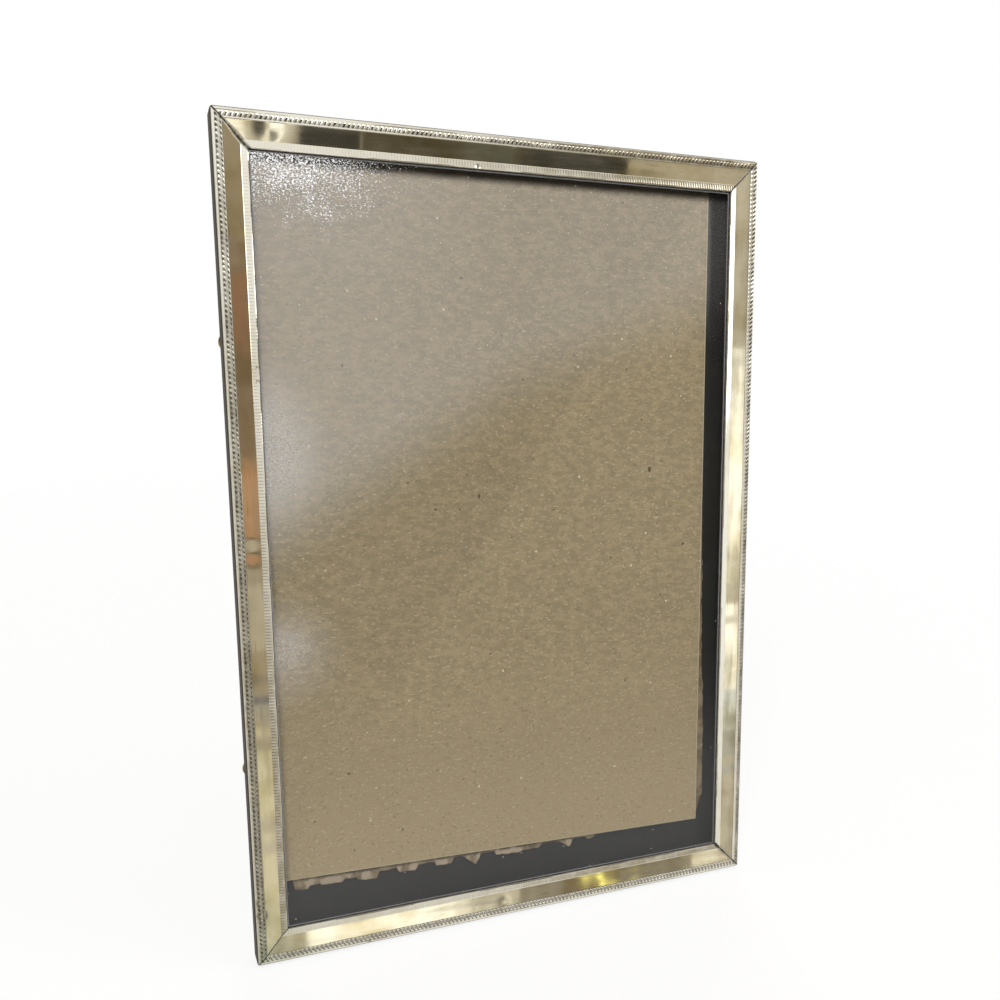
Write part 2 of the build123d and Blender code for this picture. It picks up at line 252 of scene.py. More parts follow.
def bump(height, strength, depth):
    """A normal from a height of 0 to 1 that stands for this depth in millimetres."""
    inputs = {"Height": height, "Strength": strength, "Distance": depth * mm}
    return from_fields("ShaderNodeBump", inputs)


def place_shaded(tree, to_drawing):
    """The point being shaded, in millimetres and where the matrix takes it."""
    here = field(tree, "ShaderNodeTexCoord", output="Object")
    inputs = {"Vector": here, "Scale": (1 / mm,) * 3, "Rotation": to_drawing.to_euler(),
              "Location": to_drawing.to_translation() / mm}
    return field(tree, "ShaderNodeMapping", inputs)


def parts_of(here):
    split = add_node(here.tree, "ShaderNodeSeparateXYZ", {0: here})
    return [Field(socket) for socket in split.outputs]


def drawn_value(here, name):
    """A number that the mesh carries at each of its points."""
    return field(here.tree, "ShaderNodeAttribute", output="Fac", attribute_name=name)


def oval_reach(here, across, down, back, width, height):
    """How far a point is from the middle of an oval in an upright plane, 1 on the oval itself."""
    moved = shifted(here, (frame_width / 2 - across, -back, down - frame_height))
    return length_of(stretched(moved, (1 / width, 0.0, 1 / height)))


def above_card_edge(x, z):
    """How far a point lies above the card's slanting lower edge."""
    fall = (x + (frame_width / 2 - card_left)) * card_slope
    return z + fall - (frame_height - card_drop_left)


def new_material(name, to_drawing=None, **shine):
    """A material with one Principled shader, and the place being shaded in upright millimetres.

    Steady values go on the shader's own sockets. Another matrix gives the place of another drawing.
    """
    material = bpy.data.materials.new(name)
    material.use_nodes = True
    tree = material.node_tree
    shader = tree.nodes["Principled BSDF"]
    for socket, value in shine.items():
        shader.inputs[socket.replace("_", " ")].default_value = value
    return material, shader, place_shaded(tree, to_drawing or stand_up.inverted())


def connect(shader, **sources):
    for socket, value in sources.items():
        shader.id_data.links.new(value.socket, shader.inputs[socket.replace("_", " ")])


def show(whole):
    """Make a mixed shader the one that the material shows."""
    whole.tree.links.new(whole.socket, whole.tree.nodes["Material Output"].inputs["Surface"])


# Materials

champagne = (0.86, 0.80, 0.63)
worn_pale = (0.92, 0.91, 0.85)
# Brown of tarnish, also used as painted shade on beads and ticks
brown_film_and_shade = (0.24, 0.195, 0.115)
old_gold = (0.62, 0.54, 0.34)
dark_bronze = (0.036, 0.028, 0.018)
tarnish = (0.20, 0.17, 0.09)
verdigris = (0.36, 0.40, 0.26)
plain_white = (1.0, 1.0, 1.0, 1.0)


def plating_colour(here, lane, inward, film_and_shade):
    """The rails' plating: cloudy, scuffed along its length, paler on beads and ticks, and browner there,
    partly tarnish and partly painted shade.
    """
    colour = mix(remap(cloud(here, 16.0), 0.42, 0.72), champagne, old_gold)
    scuffs = remap(cloud(stretched(lane, (0.25, 3.0, 1)), 1.6, 5.0), 0.58, 0.78)
    colour = mix(scuffs * 0.35, colour, tarnish)
    beads = bead_in + bead_half
    raised = larger(remap(inward, beads + 0.1, beads - 0.1), remap(inward, bevel_in + 0.03, groove_in + 0.05))
    colour = mix(raised * 0.5, colour, worn_pale)
    return mix(film_and_shade * remap(cloud(here, 2.6), 0.3, 0.6, 0.75, 1.0), colour, brown_film_and_shade)


def rail_brass():
    """Thin pale plating on rolled steel: polished, a little cloudy, grimy in its hollows, with painted shade
    in the hollows, under the lip, on the side walls and at the outer edge.
    """
    material, shader, here = new_material("pale_rail_brass", Specular_IOR_Level=0.1)
    names = ("along", "inward", "grime_and_shade", "wall_shade", "film_and_shade")
    along, inward, grime_and_shade, wall_shade, film_and_shade = (drawn_value(here, name) for name in names)
    lane = from_fields("ShaderNodeCombineXYZ", {0: along, 1: inward})
    colour = plating_colour(here, lane, inward, film_and_shade)
    x, _, z = parts_of(here)
    lower_left = remap(z, 22.0, 0.0) * remap(x, -45.0, -66.0)
    colour = mix(lower_left * cloud(here, 2.5) * 0.9, colour, verdigris)
    # Painted shade, mixed with grimy hollows: the hollows between beads and ticks, the lip, the side walls
    # and the outer edge go dark bronze.
    dirt_and_shade = grime_and_shade * remap(cloud(here, 1.1), 0.2, 0.6, 0.6, 1.0)
    caked_or_shaded = larger(dirt_and_shade, wall_shade)
    colour = mix(wall_shade, mix(dirt_and_shade, colour, dark_bronze), dark_bronze)
    smear = cloud(stretched(lane, (0.12, 1.0, 1)), 3.0, 4.0)
    rough = worked_out("ADD", remap(smear, 0.35, 0.75, 0.045, 0.10), caked_or_shaded * 0.55, clamp=True)
    bare = worked_out("SUBTRACT", 1.0, caked_or_shaded * 0.92, clamp=True)
    scratch = cloud(stretched(lane, (0.06, 5.0, 1)), 0.9, 2.0)
    pits = remap(cells(here, 0.8), 0.0, 0.12, 1.0, 0.0)
    relief = bump(scratch * 0.4 - pits, 0.12, 0.006)
    connect(shader, Base_Color=colour, Roughness=rough, Metallic=bare, Normal=relief)
    return material


def stamped_brass(name, colour, dull, size=7.0):
    """Brass-plated stampings, rivets and wire, duller and browner than the rails."""
    material, shader, here = new_material(name, Metallic=1.0)
    tone = mix(remap(cloud(here, size, 4.0), 0.4, 0.7) * 0.6, colour, tarnish)
    tone = mix(remap(cloud(here, 0.7, 3.0), 0.6, 0.75) * 0.45, tone, dark_bronze)
    rough = remap(cloud(here, 1.8, 4.0), 0.3, 0.7, dull, dull + 0.2)
    grain = cloud(stretched(here, (1.0, 1.0, 0.08)), 0.25, 2.0)
    connect(shader, Base_Color=tone, Roughness=rough, Normal=bump(grain, 0.2, 0.02))
    return material


def key_steel():
    """Zinc-coated steel with a spangle and some rust, for the keys inside the corners."""
    material, shader, here = new_material("zinc_key_steel", Metallic=1.0)
    tone = mix(cells(here, 2.2, "Color"), (0.42, 0.43, 0.44), (0.58, 0.58, 0.57))
    tone = mix(remap(cloud(here, 1.5, 4.0), 0.6, 0.72), tone, (0.22, 0.12, 0.06))
    connect(shader, Base_Color=tone, Roughness=remap(cloud(here, 1.0), 0.3, 0.7, 0.3, 0.55))
    return material


# Dust is thick at the glass's upper left: where it starts to thin out, across and down, and ends
dust_across = (14.0, 78.0)
dust_down = (19.0, 50.0)
dust_ragged = 20.0

# The dust and painted reflection thin out below two slanting lines, given as (down at the left edge, rise to
# the right)
haze_edge_lines = ((98.0, 0.60), (81.0, 0.35))

# Pale patches on the glass, dust and painted reflection: place across and down, half width and half height,
# and how thick
dust_and_reflection_patches = [
    (8.0, 69.0, 17.0, 22.0, 0.10),
    (8.0, 114.0, 19.0, 16.0, 0.085),
    (10.0, 113.0, 9.0, 7.0, 0.06),
]


def glass_grit(here, grit, thick):
    """Grains that sparkle where the dust is thick, a few specks elsewhere, and short fibres."""
    sparkle = remap(grit - (0.80 - thick * 0.32), 0.0, 0.06, 0.0, 0.95)
    sparse = remap(cells(here, 3.1), 0.03, 0.045, 0.7, 0.0)
    fibre = cloud(stretched(here, (2.4, 1.0, 0.35)), 0.5, 3.0, 0.7)
    return larger(sparkle, sparse, remap(fibre, 0.74, 0.8, 0.0, 0.5))


def glass_haze(here, grit, thick, from_left, from_top):
    """A thin veil, partly dust and partly painted reflection, heavier above the slanting lines, at the foot
    and in the patches.
    """
    lines = [start - from_left * rise for start, rise in haze_edge_lines]
    below = from_top - larger(*lines)
    leftward = remap(from_left, 75.0, 15.0, 1.0, 1.35) * remap(from_left, 124.0, 121.5, 0.25, 1.0)
    veil = leftward * remap(below, -15.0, 9.0, 0.12, 0.010)
    veil = veil + thick * 0.04 + remap(from_top, 115.0, 172.0, 0.0, 0.032)
    grainy = remap(grit, 0.35, 0.7, 0.4, 2.6)
    for across, down, width, height, share in dust_and_reflection_patches:
        reach = oval_reach(here, across, down, glass_front, width, height)
        veil = veil + remap(reach, 0.2, 1.0, share, 0.0) * grainy
    # Painted shade: the veil is taken away just under the top lip, where the lip shades the glass.
    return veil * remap(from_top, sight_in + 1.2, sight_in + 3.6)


def glass_rim_grime_and_shade(x, z, from_top):
    """The dark line along the four lips of the rails: grimy, and painted shade where the lips shade the
    glass.
    """
    side = (frame_width / 2 - sight_in) - worked_out("ABSOLUTE", x)
    edge = smaller(from_top - sight_in, side, z - sight_in)
    return remap(edge, 0.1, 0.55, 0.95, 0.0)


def clear_pane(tree):
    """Clear glass whose front mirrors as glass does."""
    clear = field(tree, "ShaderNodeBsdfTransparent", {"Color": (0.975, 0.985, 0.97, 1)})
    shine = field(tree, "ShaderNodeBsdfGlossy", {"Color": (0.28, 0.28, 0.28, 1), "Roughness": 0.09})
    facing = field(tree, "ShaderNodeFresnel", {"IOR": 1.5})
    inside = field(tree, "ShaderNodeNewGeometry", output="Backfacing")
    return mix_shaders(facing * (1.0 - inside), clear, shine)


def dusty_glass():
    """Clear glass that mirrors a little, with dust and fibres on its front, a veil of painted reflection
    mixed with dust, and a dark line of painted shade along the lips.
    """
    material, shader, here = new_material("dusty_clear_glass", Roughness=0.9, Specular_IOR_Level=0.0)
    x, y, z = parts_of(here)
    from_left = x + frame_width / 2
    from_top = frame_height - z
    ragged = cloud(here, 5.0, 2.0) * dust_ragged
    thick = remap(from_left, *dust_across, 1.0, 0.0) * remap(from_top + ragged, *dust_down, 1.0, 0.0)
    grit = cloud(stretched(here, (0.8, 1.0, 1.2)), 0.42, 3.0, 0.8)
    # A dark line along the lips, partly grimy and partly painted shade.
    rim = glass_rim_grime_and_shade(x, z, from_top)
    haze = glass_haze(here, grit, thick, from_left, from_top)
    front = remap(y, glass_front + 0.4, glass_front + 0.2)
    cover = larger(glass_grit(here, grit, thick), haze, rim) * front
    connect(shader, Base_Color=mix(rim, (0.87, 0.86, 0.86), (0.02, 0.018, 0.015)))
    show(mix_shaders(cover, clear_pane(here.tree), Field(shader.outputs[0])))
    return material


# Large dark flecks in the card: place across and down from the frame's outer corner, width and height
flecks = [
    (26.7, 50.7, 0.45, 0.65),
    (59.4, 80.8, 0.45, 0.85),
    (107.1, 75.8, 0.75, 1.10),
    (117.7, 95.3, 0.50, 0.70),
    (48.2, 83.5, 0.55, 0.40),
    (24.6, 144.8, 0.50, 0.45),
    (55.7, 31.0, 0.55, 0.40),
    (36.8, 16.2, 0.35, 0.30),
]


def card_flecks(here, body):
    """The card's small dark specks and pale chips, and its few large dark flecks."""
    tangle = shifted(here, (17.0, 0.0, 31.0))
    dark_fibre = cloud(stretched(tangle, (0.9, 1.0, 1.2)), 0.8, 2.0, 0.65)
    body = mix(remap(dark_fibre, 0.58, 0.74, 0.0, 0.6), body, (0.15, 0.11, 0.06))
    body = mix(remap(cells(tangle, 6.5), 0.03, 0.05, 0.8, 0.0), body, (0.07, 0.05, 0.032))
    body = mix(remap(cells(here, 7.0), 0.03, 0.05, 0.85, 0.0), body, (0.60, 0.53, 0.38))
    ragged = cloud(here, 0.4) * 0.9
    for across, down, width, height in flecks:
        reach = oval_reach(here, across, down, card_front, width, height)
        body = mix(remap(reach + ragged, 0.8, 1.3, 0.9, 0.0), body, (0.055, 0.04, 0.025))
    return body


def card_edges(here, body):
    """The card's pale cut edges, partly painted highlight, and painted shadow of the lips, deepest under the
    top rail.
    """
    x, _, z = parts_of(here)
    from_right = (card_left + card_width - frame_width / 2) - x
    # Pale cut edges, partly painted highlight where they catch the light.
    body = mix(remap(from_right, 0.08, 0.3, 0.75, 0.0), body, (0.46, 0.40, 0.29))
    body = mix(remap(above_card_edge(x, z), 0.08, 0.32, 0.7, 0.0), body, (0.42, 0.36, 0.25))
    # Painted shadow of the top and left lips on the card.
    under = (frame_height - sight_in) - z - cloud(here, 6.0) * 0.8
    beside = x + (frame_width / 2 - sight_in)
    lip_shadow = larger(remap(under, 0.3, 2.2, 0.95, 0.0), remap(beside, 0.2, 1.6, 0.35, 0.0))
    return mix(lip_shadow, body, (0.035, 0.026, 0.016))


def chipboard():
    """Grey-brown chipboard with light and dark fibres, flecks, pale cut edges that are partly painted
    highlight, and painted shadow under the lips.
    """
    material, shader, here = new_material("flecked_chipboard", Roughness=0.85, Specular_IOR_Level=0.15)
    _, _, z = parts_of(here)
    body = mix(cloud(here, 22.0, 4.0), (0.224, 0.174, 0.104), (0.252, 0.195, 0.119))
    body = mix(remap(z, 80.0, 15.0), body, (0.325, 0.246, 0.144))
    mottle = cloud(stretched(here, (0.6, 1.0, 1.2)), 1.6, 5.0, 0.7)
    body = mix(remap(mottle, 0.42, 0.60, 0.0, 0.75), body, (0.318, 0.244, 0.147))
    pale = cloud(stretched(here, (0.7, 1.0, 1.3)), 0.75, 2.0, 0.65)
    body = mix(remap(pale, 0.57, 0.72, 0.0, 0.8), body, (0.42, 0.35, 0.235))
    body = card_edges(here, card_flecks(here, body))
    connect(shader, Base_Color=body, Normal=bump(mottle + pale * 0.8, 0.5, 0.05))
    return material


def brown_paper():
    """Brown paper, paler on its torn flaps and dark where the card shades it."""
    material, shader, here = new_material("torn_brown_paper", Roughness=0.8, Specular_IOR_Level=0.2)
    x, _, z = parts_of(here)
    body = mix(remap(cloud(here, 3.0, 4.0), 0.35, 0.65), (0.12, 0.085, 0.05), (0.22, 0.165, 0.10))
    fibre = cloud(stretched(here, (0.6, 1.0, 2.0)), 0.35, 3.0)
    body = mix(remap(fibre, 0.55, 0.75, 0.0, 0.4), body, (0.36, 0.29, 0.20))
    patches = cloud(stretched(here, (1.0, 1.0, 0.4)), 2.4, 3.0)
    body = mix(remap(drawn_value(here, "torn") + patches, 1.38, 1.52), body, (0.31, 0.24, 0.18))
    gaps = cloud(stretched(shifted(here, (40.0, 0.0, 0.0)), (1.0, 1.0, 0.2)), 3.2, 1.0)
    shade = remap(above_card_edge(x, z), -0.3, -1.3, 0.9, 0.0) * remap(gaps, 0.42, 0.56, 0.15, 1.0)
    body = mix(shade * remap(z, 22.0, 19.0), body, (0.06, 0.035, 0.02))
    connect(shader, Base_Color=body, Normal=bump(fibre, 0.5, 0.05))
    return material


def black_paper():
    """The lining: black paper, rubbed and dusty grey."""
    material, shader, here = new_material("dusty_black_paper", Roughness=0.75, Specular_IOR_Level=0.1)
    body = mix(cloud(here, 14.0, 4.0), (0.010, 0.010, 0.010), (0.020, 0.019, 0.018))
    body = mix(remap(cloud(here, 3.5, 2.0, 0.6), 0.5, 0.8, 0.0, 0.04), body, (0.16, 0.15, 0.14))
    creases = cloud(stretched(here, (0.3, 1.0, 2.5)), 5.0, 1.0)
    connect(shader, Base_Color=body, Normal=bump(creases, 0.2, 0.08))
    return material


def raw_board():
    """Grey pulp board, bare where no cloth or paper covers it."""
    material, shader, here = new_material("raw_grey_board", Roughness=0.9)
    body = mix(cloud(here, 5.0, 5.0), (0.24, 0.21, 0.17), (0.34, 0.31, 0.26))
    fibre = cloud(stretched(here, (0.5, 1.0, 2.0)), 0.4, 3.0)
    body = mix(remap(fibre, 0.6, 0.8), body, (0.12, 0.10, 0.08))
    connect(shader, Base_Color=body, Normal=bump(fibre, 0.4, 0.05))
    return material


def velveteen(name, to_drawing=None):
    """Black velveteen: a short brushed pile with lint, rubbed paler in places."""
    material, shader, here = new_material(
        name, to_drawing, Roughness=0.95, Sheen_Weight=0.55, Sheen_Roughness=0.45,
        Sheen_Tint=(0.55, 0.55, 0.6, 1), Specular_IOR_Level=0.15
    )
    brushed = cloud(stretched(here, (1.0, 1.0, 0.35)), 11.0, 4.0)
    body = mix(brushed, (0.012, 0.012, 0.013), (0.028, 0.027, 0.028))
    pile = cloud(stretched(here, (1.0, 1.0, 0.6)), 0.28, 2.0, 0.6)
    body = mix(remap(pile, 0.45, 0.7), body, (0.045, 0.043, 0.045))
    body = mix(remap(cloud(here, 26.0, 5.0), 0.56, 0.72, 0.0, 0.45), body, (0.065, 0.06, 0.058))
    lint = cells(stretched(here, (1.0, 1.0, 0.5)), 5.0)
    body = mix(remap(lint, 0.02, 0.035, 0.8, 0.0), body, (0.30, 0.29, 0.27))
    connect(shader, Base_Color=body, Normal=bump(pile + cells(here, 0.45) * 0.5, 0.6, 0.12))
    return material


def pale_floor():
    """A pale floor that the camera sees as white, with the object's shadow kept."""
    material, shader, here = new_material("pale_floor", Matrix(), Roughness=0.9)
    connect(shader, Base_Color=mix(cloud(here, 200.0), (0.76, 0.75, 0.72), (0.80, 0.79, 0.76)))
    white_light = field(here.tree, "ShaderNodeEmission", {"Color": plain_white})
    by_camera, by_metal, by_glass = ray_kinds(here.tree)
    plain = remap(length_of(here), 100.0, 500.0, 0.8, 1.0)
    share = larger(larger(by_camera, by_glass) * plain, by_metal * 0.2)
    show(mix_shaders(share, Field(shader.outputs[0]), white_light))
    return material


def ray_kinds(tree):
    """Whether the ray comes from the camera, off something glossy, or through glass."""
    path = add_node(tree, "ShaderNodeLightPath")
    kinds = ("Is Camera Ray", "Is Glossy Ray", "Is Transmission Ray")
    return [Field(path.outputs[kind]) for kind in kinds]


def glow(name, colour):
    """A stretch of room that metal and glass mirror, and that lights nothing else."""
    material = bpy.data.materials.new(name)
    material.use_nodes = True
    tree = material.node_tree
    tree.nodes.clear()
    strength = field(tree, "ShaderNodeLightPath", output="Is Glossy Ray")
    shine = field(tree, "ShaderNodeEmission", {"Color": opaque(colour), "Strength": strength})
    add_node(tree, "ShaderNodeOutputMaterial", {"Surface": shine})
    return material


# Mesh tools


def put(name, data):
    """A new object in the scene."""
    thing = bpy.data.objects.new(name, data)
    bpy.context.scene.collection.objects.link(thing)
    return thing


def new_mesh(name, points, faces):
    mesh = bpy.data.meshes.new(name)
    mesh.from_pydata(points, [], faces)
    return mesh


def add_piece(mesh, material, body, replaced):
    """Put a finished mesh in the scene as the piece that stands for one CAD node."""
    piece = put(mesh.name, mesh)
    mesh.materials.append(material)
    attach(piece, body)
    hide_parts(replaced)
    return piece


def carry(mesh, name, values):
    """Have the mesh carry a number at each of its points."""
    layer = mesh.attributes.new(name, "FLOAT", "POINT")
    layer.data.foreach_set("value", np.asarray(values, np.float32))


def grid_faces(rows, columns, closed=False):
    """Faces of a grid of points laid out row by row; closed joins the last column to the first."""
    faces = []
    width = columns if closed else columns - 1
    for row in range(rows - 1):
        for column in range(width):
            after = (column + 1) % columns
            faces.append((row * columns + column, row * columns + after,
                          (row + 1) * columns + after, (row + 1) * columns + column))
    return faces


def set_smooth(mesh, sharp_above):
    mesh.polygons.foreach_set("use_smooth", [True] * len(mesh.polygons))
    mesh.set_sharp_from_angle(angle=math.radians(sharp_above))


def out_to_floor(mesh, place=stand_up):
    mesh.transform(place @ Matrix.Scale(mm, 4))


def thicken(piece, thickness, offset=-1.0):
    """Give a sheet its thickness, inwards from its surface."""
    solid = piece.modifiers.new("thickness", "SOLIDIFY")
    solid.thickness = thickness * mm
    solid.offset = offset


@contextmanager
def edited(mesh):
    """The mesh opened for editing, and written back with its faces turned outwards."""
    shape = bmesh.new()
    shape.from_mesh(mesh)
    yield shape
    bmesh.ops.recalc_face_normals(shape, faces=shape.faces)
    shape.to_mesh(mesh)
    shape.free()


def cut_away(shape, place, outward):
    """Remove what lies beyond a plane."""
    parts = list(shape.verts) + list(shape.edges) + list(shape.faces)
    bmesh.ops.bisect_plane(shape, geom=parts, plane_co=place, plane_no=outward, clear_outer=True)


# Rails


def rail_section():
    """The closed section of the rolled sheet as (in, drop, grime, wall, bead, tick) rows.

    The third number says how dark its hollows are, partly grimy and partly painted shade between beads and
    ticks and under the lip. The fourth is painted shade that darkens the side, rear and outer edge. Bead and
    tick say how far the section stands up there at the crest of each bead or tick. Zeros at the end are left
    out.
    """
    rows = [
        # The lip's inner edge and rear are dark: painted shade under the lip.
        (sight_in, lip_back, 1, 0.6),
        (sight_in, lip_back - 0.3, 1, 0.3),
        (sight_in - 0.03, tick_crest + 0.16, 0.3),
        (sight_in - 0.1, tick_crest + 0.03),
    ]
    hollows = (0.0, 0.1, 0.4, 0.7, 0.9, 1.0, 1.0, 1.0, 0.8)
    for step, hollow in enumerate(hollows):
        share = step / (len(hollows) - 1)
        rise = (groove_drop - tick_crest) * (1 - share) ** 0.9
        rows.append((tick_in + tick_half - 2 * tick_half * share, groove_drop, hollow, 0, 0, rise))
    rows += [
        (bevel_in + 0.03, bevel_drop + 0.03),
        (bevel_in, bevel_drop),
    ]
    for share in (0.012, *np.arange(0.1, 0.95, 0.1), 0.988, 1.0):
        rows.append((bevel_in + (fillet_in - bevel_in) * share,
                     bevel_drop + (fillet_drop - bevel_drop) * share))
    rows.append((fillet_in - 0.06, fillet_drop - 0.005))
    for step in range(bead_rows + 1):
        share = step / bead_rows
        base = fillet_drop + (shoulder_drop - fillet_drop) * share
        rise = base * math.sqrt(max(0.0, 1 - (2 * share - 1) ** 2))
        rows.append((bead_in + bead_half - 2 * bead_half * share, base, 1, 0, rise))
    rows += [
        (shoulder_in * 0.93, shoulder_drop, 1),
        (shoulder_in * 0.72, shoulder_drop + 0.01, 1),
        (shoulder_in * 0.5, shoulder_drop + 0.04, 1),
        # The shoulder's outer edge and the side are dark: painted shade.
        (shoulder_in * 0.36, shoulder_drop + 0.09, 0, 0.3),
        (shoulder_in * 0.2, shoulder_drop + 0.18, 0, 0.95),
        (shoulder_in * 0.05, shoulder_drop + 0.35, 0, 1),
        (0.0, side_top, 0, 1),
        (side_taper * 0.06, side_top + 0.4, 0, 1),
        (side_taper * 0.6, (side_top + rail_depth) / 2 + 1.0, 0, 1),
    ]
    for degrees in (180.0, 157.5, 135.0, 112.5, 90.0):
        angle = math.radians(degrees)
        place_in = side_taper + rear_round + rear_round * math.cos(angle)
        drop = rail_depth - rear_round + rear_round * math.sin(angle)
        rows.append((place_in - 0.12 * (rail_depth - drop) / rear_round, drop, 0, 1))
    rows += [
        (flange_in, rail_depth, 0, 0.35),
        (flange_in, rail_depth - sheet, 0, 0.6),
        (side_taper + sheet + 0.3, rail_depth - sheet, 0, 1),
        (sheet, side_top + sheet, 0, 1),
        (bead_in, shoulder_drop + sheet, 0, 1),
        (fillet_in, fillet_drop + sheet, 0, 1),
        (bevel_in, bevel_drop + sheet, 0, 1),
        (groove_in + 0.1, lip_back, 0, 1),
    ]
    return np.array([row + (0,) * (6 - len(row)) for row in rows], float)


def wave(place, pitch, sharpness):
    """1 on the crest of each bead and 0 in the hollow between two."""
    return np.abs(np.sin(math.pi * place / pitch)) ** sharpness


rail_lengths = {"left": frame_height, "right": frame_height, "top": frame_width, "bottom": frame_width}

# Dents and nicks: rail, place along it, place in, radius, depth
dents = [
    ("top", 59.2, 7.3, 0.45, 0.30),
    ("left", frame_height - 51.6, 7.4, 0.35, 0.30),
    ("left", frame_height - 54.5, 7.4, 0.35, 0.30),
    ("left", frame_height - 171.5, 0.8, 0.7, 0.20),
    ("left", frame_height - 174.6, 0.9, 0.8, 0.25),
    ("bottom", 27.2, 0.7, 0.6, 0.15),
    ("right", frame_height - 54.0, 0.9, 0.5, 0.12),
    ("top", 68.0, 1.2, 0.6, 0.12),
    ("left", 96.0, 4.0, 2.2, 0.025),
    ("top", 12.0, 3.2, 2.5, 0.05),
    ("bottom", 63.0, 3.4, 1.4, 0.02),
]

# Long shallow waves in the rolled sheet: the length and height of each
ripples = [(37.0, 0.02), (13.0, 0.007), (6.1, 0.0025)]

# How deep the hollows between the beads of each rail still are, where 1 is as new
bead_relief = {"top": 1.0, "left": 1.0, "right": 1.0, "bottom": 0.55}

# Where across the bead row the dark of each rail lies, grimy and painted shade
bead_lanes = {"top": (1.15, 2.0), "left": (0.75, 2.2), "right": (0.35, 1.5), "bottom": (0.7, 2.3)}

# How wide the dark between the beads of each rail is, grimy and painted shade
bead_shade_and_dirt = {"top": 0.65, "left": 0.8, "right": 0.7, "bottom": 0.5}

# How brown beads and ticks are, partly tarnish and partly painted shade, at four places from the rail's left
# or lower end
bead_film_and_shade = {
    "top": (0.0, 0.2, 0.85, 1.0), "left": (0.65, 0.75, 0.5, 0.0),
    "right": (0.35, 0.4, 0.35, 0.35), "bottom": (0.25, 0.25, 0.2, 0.25),
}
tick_film_and_shade = {
    "top": (0.1, 0.35, 0.7, 0.85), "left": (0.9, 0.75, 0.3, 0.0),
    "right": (0.3, 0.05, 0.0, 0.2), "bottom": (0.35, 0.4, 0.8, 0.8),
}

# How deep and dark the lines between the ticks are, grimy and painted shade, at the same four places
tick_lines = {
    "top": (0.0, 0.15, 1.0, 1.0), "left": (0.6, 1.0, 0.5, 0.0),
    "right": (0.15, 0.0, 0.0, 0.2), "bottom": (0.1, 0.15, 0.3, 0.3),
}


def shade_and_dirt_between_beads(name, along, place_in, crest):
    """The dark in the hollows of a rail's beads, grimy and painted shade, in its own lane across them and
    patchy along them.
    """
    low, high = bead_lanes[name]
    lane = np.clip(np.minimum(place_in - low, high - place_in) / 0.12 + 0.5, 0, 1)
    if name == "left":
        lane = lane * np.clip(0.4 + np.abs(place_in - bead_in) / bead_half, 0, 1)
    patchy = 1 + 0.3 * np.sin(along / 1.9 + ord(name[0])) * np.sin(along / 5.3)
    gap = np.clip(1.7 + 1.3 * bead_shade_and_dirt[name] * patchy - 2.3 * crest, 0, 1)
    return gap * (0.6 + 0.4 * bead_relief[name]) * lane


def rippled(name, along, place_in, depth):
    """The depth with the slight waves of the rolled sheet in the rail's front."""
    seed = 1.7 * len(name) + ord(name[0])
    for number, (wavelength, height) in enumerate(ripples):
        phase = seed * (number + 1.3)
        tilt = math.sin(phase) * 0.1
        swell = np.sin(2 * math.pi * along / wavelength + phase + tilt * place_in)
        depth = depth + height * swell * (place_in > shoulder_in) * (place_in < sight_in - 0.1)
    return depth


def dented(name, along, place_in, front, depth, dirt_and_shade):
    """Depth and dirt with the rail's dents pressed into its front, the deep ones dirty."""
    for rail, centre, inward, radius, deep in dents:
        if rail == name:
            near = ((along - centre) ** 2 + (place_in - inward) ** 2) / radius ** 2
            depth = depth + deep * np.exp(-near) * front
            dirt_and_shade = np.maximum(dirt_and_shade, np.exp(-near * 1.5) * (deep > 0.1) * 0.8)
    return depth, dirt_and_shade


def rail_points(name, length):
    """The rail's grid in (along, in, drop), and the numbers that its mesh carries for the brass."""
    beads = round(length / bead_pitch)
    pitch = length / beads
    along = np.linspace(0.0, length, beads * steps_per_bead + 1)[:, None]
    place_in, drop, grime_and_shade, wall_shade, bead, tick = rail_section().T[:, None, :]
    crest = wave(along + bead_slant * (place_in - bead_in), pitch, 0.6)
    comb = wave(along, pitch / ticks_per_beads, 0.5)
    places = np.linspace(0.0, length, 4)
    lines = np.interp(along, places, tick_lines[name])
    hollow = bead_relief[name] * 0.75 * (1 - crest)
    depth = drop - bead * (1 - hollow) - tick * (1 - 0.14 * lines * (1 - comb))
    in_beads = (place_in > 0.3) & (place_in <= bead_in + bead_half + 1e-6) & (drop < 1.0)
    in_ticks = np.abs(place_in - tick_in) <= tick_half + 1e-6
    film_and_shade = np.where(in_beads, np.interp(along, places, bead_film_and_shade[name]), 0.0)
    film_and_shade = np.where(in_ticks, np.interp(along, places, tick_film_and_shade[name]), film_and_shade)
    # Painted shade and grimy hollows between the beads and ticks and under the lip.
    dirt_and_shade = grime_and_shade * np.where(in_beads, shade_and_dirt_between_beads(name, along, place_in, crest), 1.0)
    dirt_and_shade = dirt_and_shade * np.where(in_ticks, np.clip(1.5 - 2.0 * comb, 0, 1) * lines, 1.0)
    depth = rippled(name, along, place_in, depth)
    depth, dirt_and_shade = dented(name, along, place_in, drop < lip_back, depth, dirt_and_shade)
    depth = np.maximum(depth, 0.0)
    points = np.stack(np.broadcast_arrays(along, place_in, depth), -1).reshape(-1, 3)
    values = {"along": along, "inward": place_in, "film_and_shade": film_and_shade, "grime_and_shade": np.clip(dirt_and_shade, 0, 1), "wall_shade": wall_shade}
    values = {key: np.broadcast_to(value, depth.shape).ravel() for key, value in values.items()}
    return points, values, depth.shape


